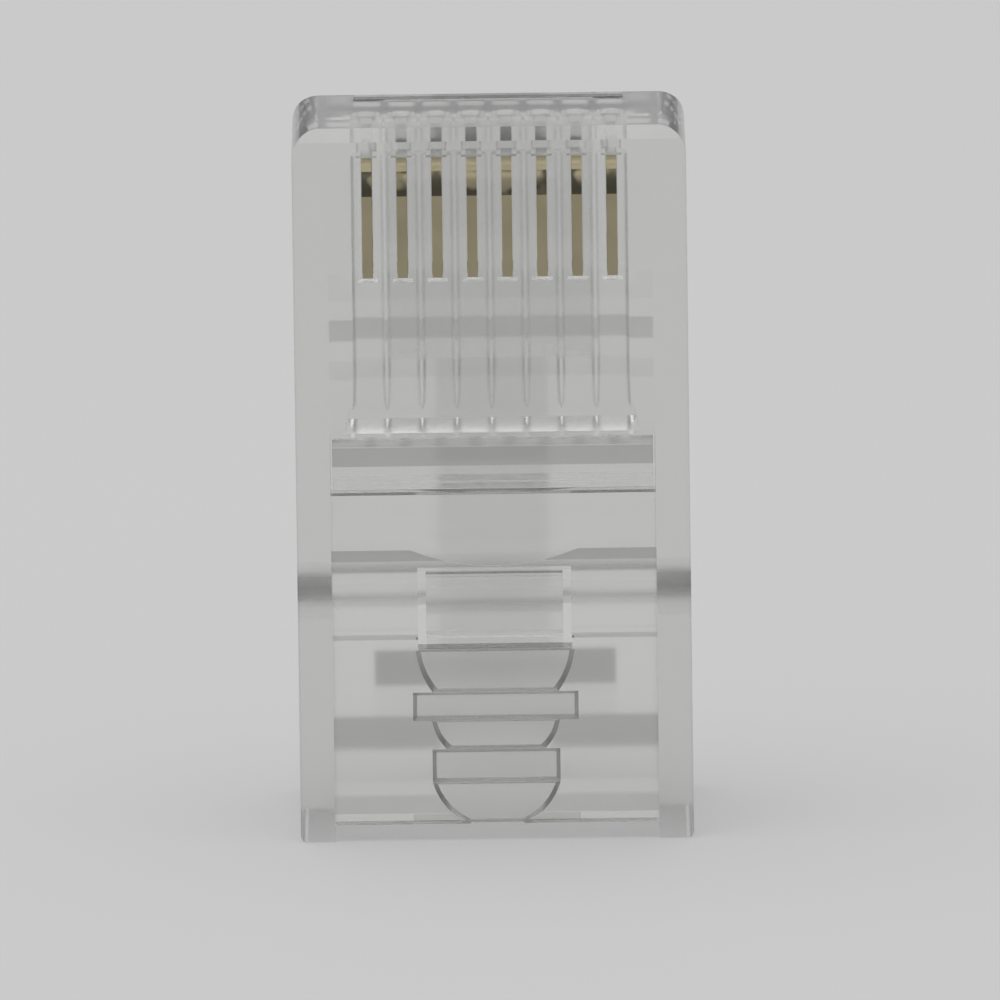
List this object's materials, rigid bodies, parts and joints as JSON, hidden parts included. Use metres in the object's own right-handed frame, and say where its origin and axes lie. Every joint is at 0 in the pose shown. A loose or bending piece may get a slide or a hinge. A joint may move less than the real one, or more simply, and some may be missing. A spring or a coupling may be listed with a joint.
{
  "type": "rj45 modular plug",
  "caption": "Clear modular plug for round data cable, not yet crimped, with blade contacts, a sprung latch, a wire clamp and a cable clamp.",
  "frame": {"origin": "centre of the housing's width and of its thickness at the nose, in the plane of the cable-end rim", "axes": "+Z from the cable-end rim to the nose, +X across the width of the contacts, -Y out of the contact face, +Y out of the latch side"},
  "size_m": [0.0116, 0.0124, 0.0211],
  "materials": {
    "clear_housing": "clear moulded polycarbonate",
    "plated_contact": "gold-plated phosphor bronze"
  },
  "bodies": {
    "plug": {"housing": "clear_housing"},
    "latch_lever": {"latch": "clear_housing"},
    "cable_pawl": {"cable_clamp": "clear_housing"},
    "wire_bar": {"wire_clamp": "clear_housing"},
    "blade_1": {"contact_1": "plated_contact"},
    "blade_2": {"contact_2": "plated_contact"},
    "blade_3": {"contact_3": "plated_contact"},
    "blade_4": {"contact_4": "plated_contact"},
    "blade_5": {"contact_5": "plated_contact"},
    "blade_6": {"contact_6": "plated_contact"},
    "blade_7": {"contact_7": "plated_contact"},
    "blade_8": {"contact_8": "plated_contact"}
  },
  "joints": [
    {"name": "latch_press", "type": "hinge", "parent": "plug", "child": "latch_lever", "pos_m": [0, 0.00398, 0.01975], "axis": [-1, 0, 0], "range_deg": [0, 8.5], "stiffness_Nm_per_rad": 0.4},
    {"name": "cable_clamp_swing", "type": "hinge", "parent": "plug", "child": "cable_pawl", "pos_m": [0, -0.00245, 0.00575], "axis": [-1, 0, 0], "range_deg": [0, 34]},
    {"name": "wire_clamp_swing", "type": "hinge", "parent": "plug", "child": "wire_bar", "pos_m": [0, -0.00236, 0.01032], "axis": [-1, 0, 0], "range_deg": [0, 26]},
    {"name": "blade_1_crimp", "type": "slide", "parent": "plug", "child": "blade_1", "axis": [0, 1, 0], "range_m": [0, 0.00058]},
    {"name": "blade_2_crimp", "type": "slide", "parent": "plug", "child": "blade_2", "axis": [0, 1, 0], "range_m": [0, 0.00058]},
    {"name": "blade_3_crimp", "type": "slide", "parent": "plug", "child": "blade_3", "axis": [0, 1, 0], "range_m": [0, 0.00058]},
    {"name": "blade_4_crimp", "type": "slide", "parent": "plug", "child": "blade_4", "axis": [0, 1, 0], "range_m": [0, 0.00058]},
    {"name": "blade_5_crimp", "type": "slide", "parent": "plug", "child": "blade_5", "axis": [0, 1, 0], "range_m": [0, 0.00058]},
    {"name": "blade_6_crimp", "type": "slide", "parent": "plug", "child": "blade_6", "axis": [0, 1, 0], "range_m": [0, 0.00058]},
    {"name": "blade_7_crimp", "type": "slide", "parent": "plug", "child": "blade_7", "axis": [0, 1, 0], "range_m": [0, 0.00058]},
    {"name": "blade_8_crimp", "type": "slide", "parent": "plug", "child": "blade_8", "axis": [0, 1, 0], "range_m": [0, 0.00058]}
  ]
}
